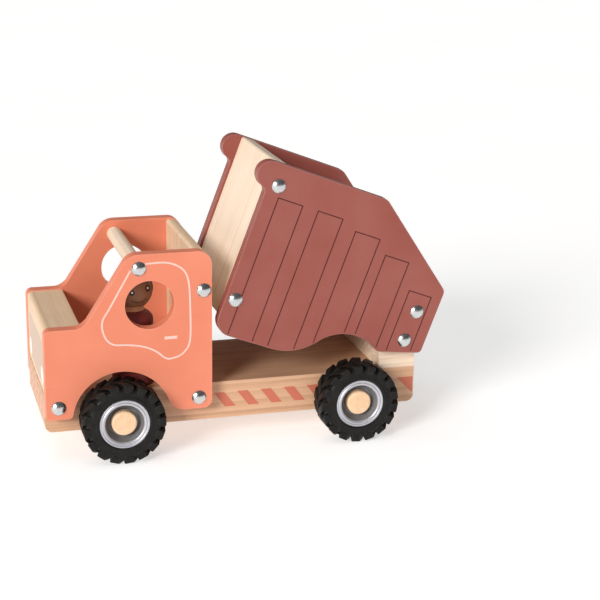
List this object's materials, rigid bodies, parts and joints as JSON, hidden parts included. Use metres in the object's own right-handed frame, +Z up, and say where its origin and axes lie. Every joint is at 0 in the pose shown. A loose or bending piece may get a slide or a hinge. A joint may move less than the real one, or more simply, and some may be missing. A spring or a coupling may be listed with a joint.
{
  "type": "toy dump truck",
  "caption": "Wooden toy dump truck with open cab, peg driver, rubber-tyred wheels that spin and a bed that tips about a rear pivot.",
  "frame": {"origin": "centre of the bounding box in X and Y, on the floor under the tyres, with the bed raised 20.5 degrees at rest", "axes": "+X forward, +Y to the truck's left, +Z up"},
  "size_m": [0.2764, 0.1346, 0.1975],
  "materials": {
    "natural_wood": "clear matt lacquer over pale softwood grain",
    "cap_wood": "turned and sanded end grain",
    "coral_paint": "satin coral paint on plywood",
    "brick_paint": "satin brick-red paint on plywood",
    "bolt_chrome": "polished domed heads",
    "insert_brass": "plain",
    "plain_steel": "zinc plated",
    "rim_silver": "silver moulded plastic",
    "tyre_rubber": "matt black rubber with deep block tread",
    "driver_paint": "satin painted turned peg"
  },
  "bodies": {
    "chassis": {"chassis_board": "natural_wood", "pivot_block": "natural_wood", "hood_block": "natural_wood", "cab_side_left": "coral_paint", "cab_side_right": "coral_paint", "cab_rear_wall": "natural_wood", "windscreen_rail": "natural_wood", "cab_bolts": "bolt_chrome", "cab_insert_nuts": "insert_brass", "block_screws": "plain_steel", "front_axle": "natural_wood", "rear_axle": "natural_wood", "axle_cap_front_left": "cap_wood", "axle_cap_front_right": "cap_wood", "axle_cap_rear_left": "cap_wood", "axle_cap_rear_right": "cap_wood", "pivot_bolts": "bolt_chrome", "pivot_insert_nuts": "insert_brass", "pivot_washers": "plain_steel"},
    "bed": {"bed_side_left": "brick_paint", "bed_side_right": "brick_paint", "bed_front_wall": "natural_wood", "bed_floor": "natural_wood", "bed_bolts": "bolt_chrome", "bed_insert_nuts": "insert_brass"},
    "wheel_front_left": {"hub_front_left": "rim_silver", "tyre_front_left": "tyre_rubber"},
    "wheel_front_right": {"hub_front_right": "rim_silver", "tyre_front_right": "tyre_rubber"},
    "wheel_rear_left": {"hub_rear_left": "rim_silver", "tyre_rear_left": "tyre_rubber"},
    "wheel_rear_right": {"hub_rear_right": "rim_silver", "tyre_rear_right": "tyre_rubber"},
    "driver_figure": {"driver": "driver_paint"}
  },
  "joints": [
    {"name": "bed_tip", "type": "hinge", "parent": "chassis", "child": "bed", "pos_m": [-0.11021, 0, 0.067], "axis": [0, -1, 0], "range_deg": [-20.5, 69.5]},
    {"name": "front_left_wheel_spin", "type": "hinge", "parent": "chassis", "child": "wheel_front_left", "pos_m": [0.08839, 0, 0.0279], "axis": [0, 1, 0], "continuous": true},
    {"name": "front_right_wheel_spin", "type": "hinge", "parent": "chassis", "child": "wheel_front_right", "pos_m": [0.08839, 0, 0.0279], "axis": [0, 1, 0], "continuous": true},
    {"name": "rear_left_wheel_spin", "type": "hinge", "parent": "chassis", "child": "wheel_rear_left", "pos_m": [-0.07451, 0, 0.0279], "axis": [0, 1, 0], "continuous": true},
    {"name": "rear_right_wheel_spin", "type": "hinge", "parent": "chassis", "child": "wheel_rear_right", "pos_m": [-0.07451, 0, 0.0279], "axis": [0, 1, 0], "continuous": true},
    {"name": "driver_turn", "type": "hinge", "parent": "chassis", "child": "driver_figure", "pos_m": [0.07589, 0.028, 0.042], "axis": [0, 0, 1], "continuous": true}
  ]
}
